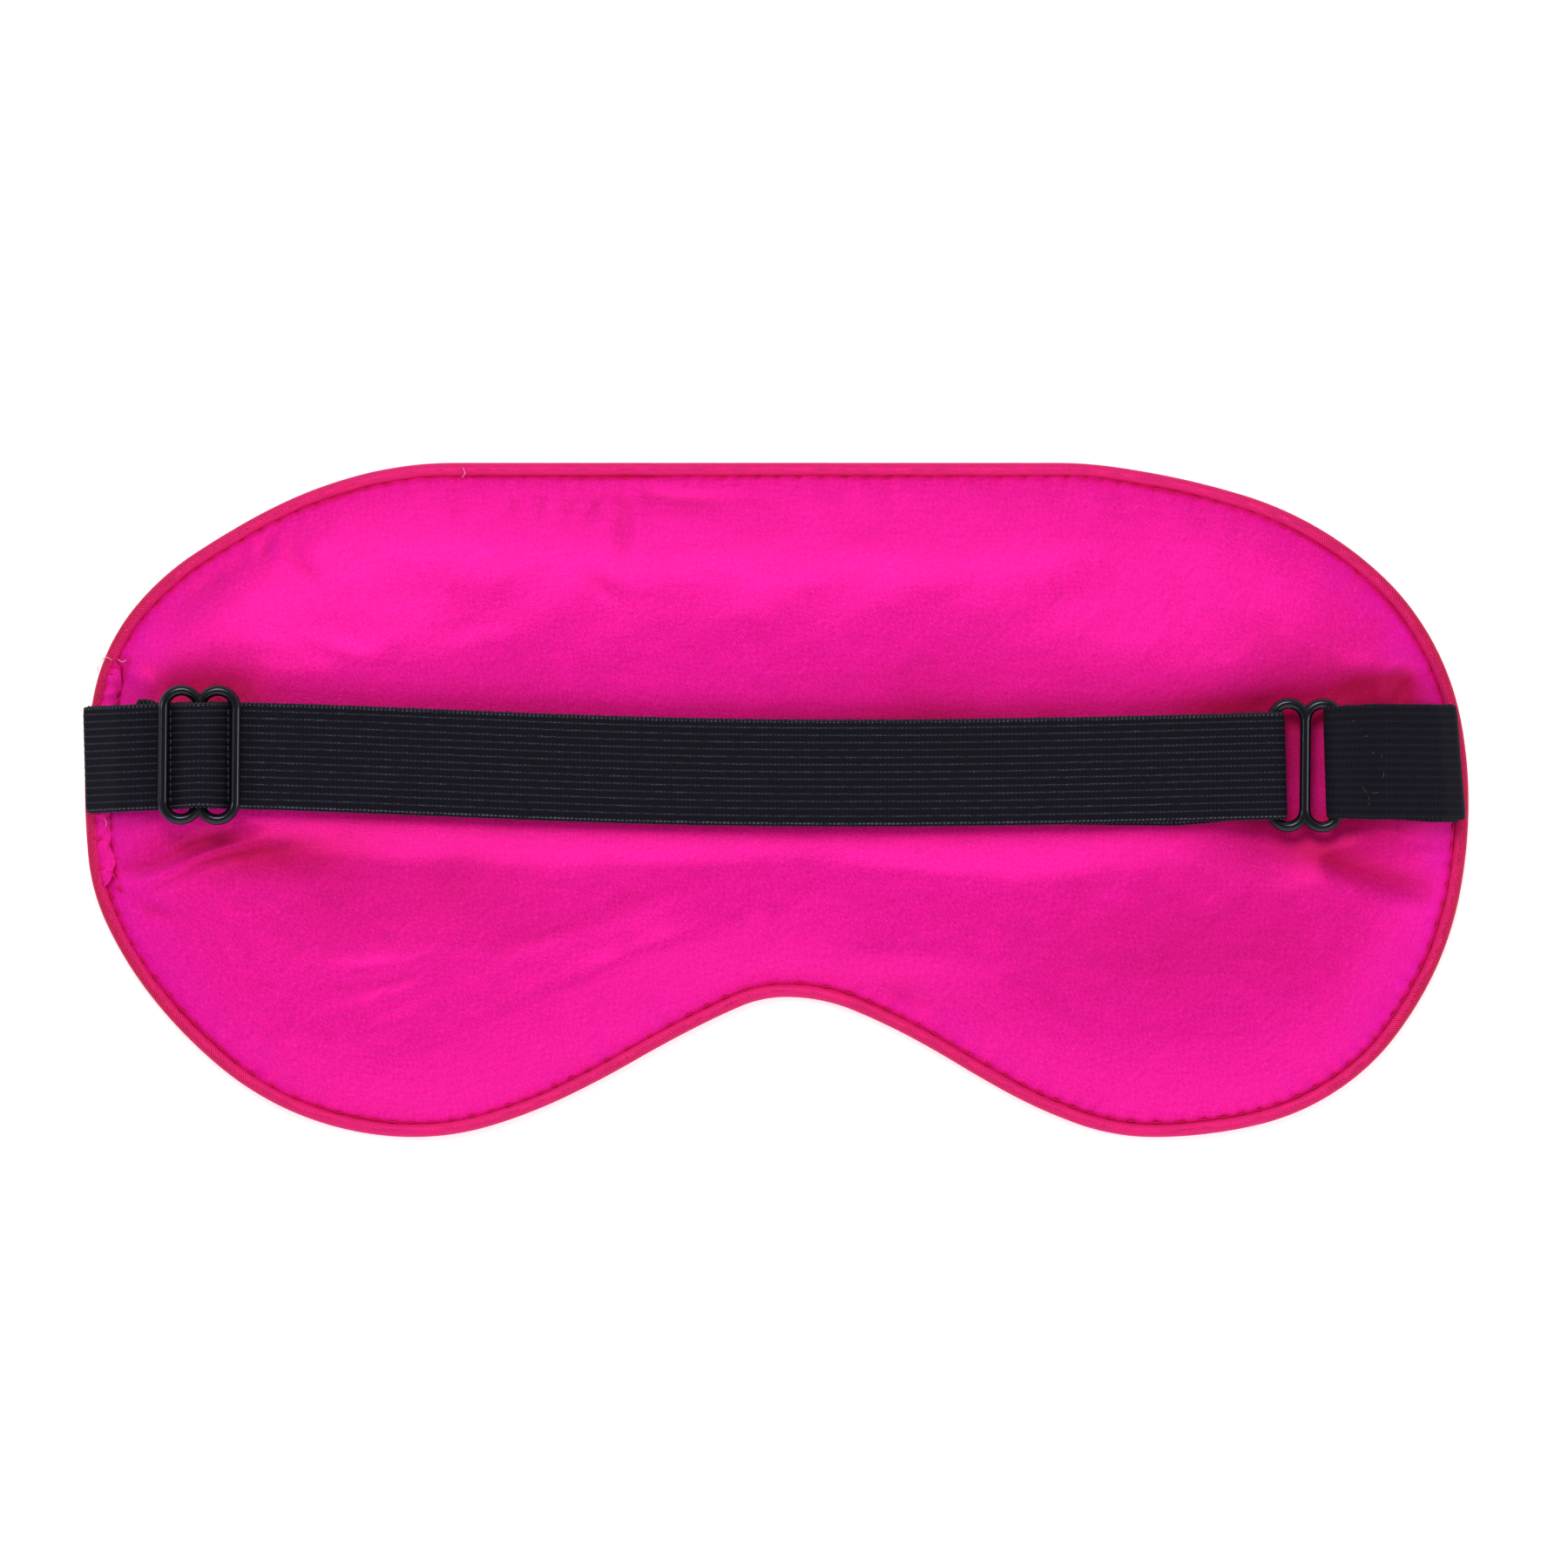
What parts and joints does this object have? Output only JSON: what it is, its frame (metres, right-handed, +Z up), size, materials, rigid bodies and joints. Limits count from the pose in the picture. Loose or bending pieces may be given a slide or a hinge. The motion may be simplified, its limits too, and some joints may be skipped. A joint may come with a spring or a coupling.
{
  "type": "sleep eye mask",
  "caption": "Padded satin sleep mask with piped edge and nose notch, and a flat elastic head strap with a wire slider and ring, lying on its outer face.",
  "frame": {"origin": "centre of the outline's box, on the surface the outer face rests on", "axes": "+X along the mask towards the ring's side, +Y towards the forehead edge, +Z up, out of the face side"},
  "size_m": [0.2001, 0.0974, 0.0144],
  "materials": {
    "satin": "pink satin, soft sheen",
    "piping_satin": "pink satin cut on the bias, ribbed twill",
    "blackout_cloth": "matt",
    "padding": "soft sheet padding",
    "filler_cord": "spun cotton",
    "elastic": "black ribbed knit",
    "black_wire": "black lacquer, semi-gloss",
    "pink_thread": "spun sewing thread",
    "black_thread": "spun sewing thread"
  },
  "bodies": {
    "mask": {"outer_panel": "satin", "blackout_liner": "blackout_cloth", "padding": "padding", "inner_panel": "satin", "piping_cover": "piping_satin", "piping_cord": "filler_cord", "edge_seam_thread": "pink_thread", "left_seam_tack": "pink_thread", "right_seam_tack": "pink_thread", "closing_stitches": "pink_thread"},
    "band": {"elastic_strap": "elastic", "ring_tab": "elastic"},
    "slider_unit": {"slider": "black_wire", "loop_tack": "black_thread"},
    "ring_unit": {"ring": "black_wire"}
  },
  "joints": [
    {"name": "strap_lift", "type": "slide", "parent": "mask", "child": "band", "axis": [0, 0, 1], "range_m": [0, 0.012], "stiffness_N_per_m": 30, "deforming": ["elastic_strap", "ring_tab"]},
    {"name": "slider_slide", "type": "slide", "parent": "band", "child": "slider_unit", "axis": [0.9999, -0.0157, 0], "range_m": [0, 0.135], "deforming": ["elastic_strap"]},
    {"name": "ring_tilt", "type": "hinge", "parent": "band", "child": "ring_unit", "pos_m": [0.0762, 0.005, 0.00957], "axis": [0.0094, 1, 0], "range_deg": [-10, 10], "deforming": ["elastic_strap", "ring_tab"]}
  ]
}
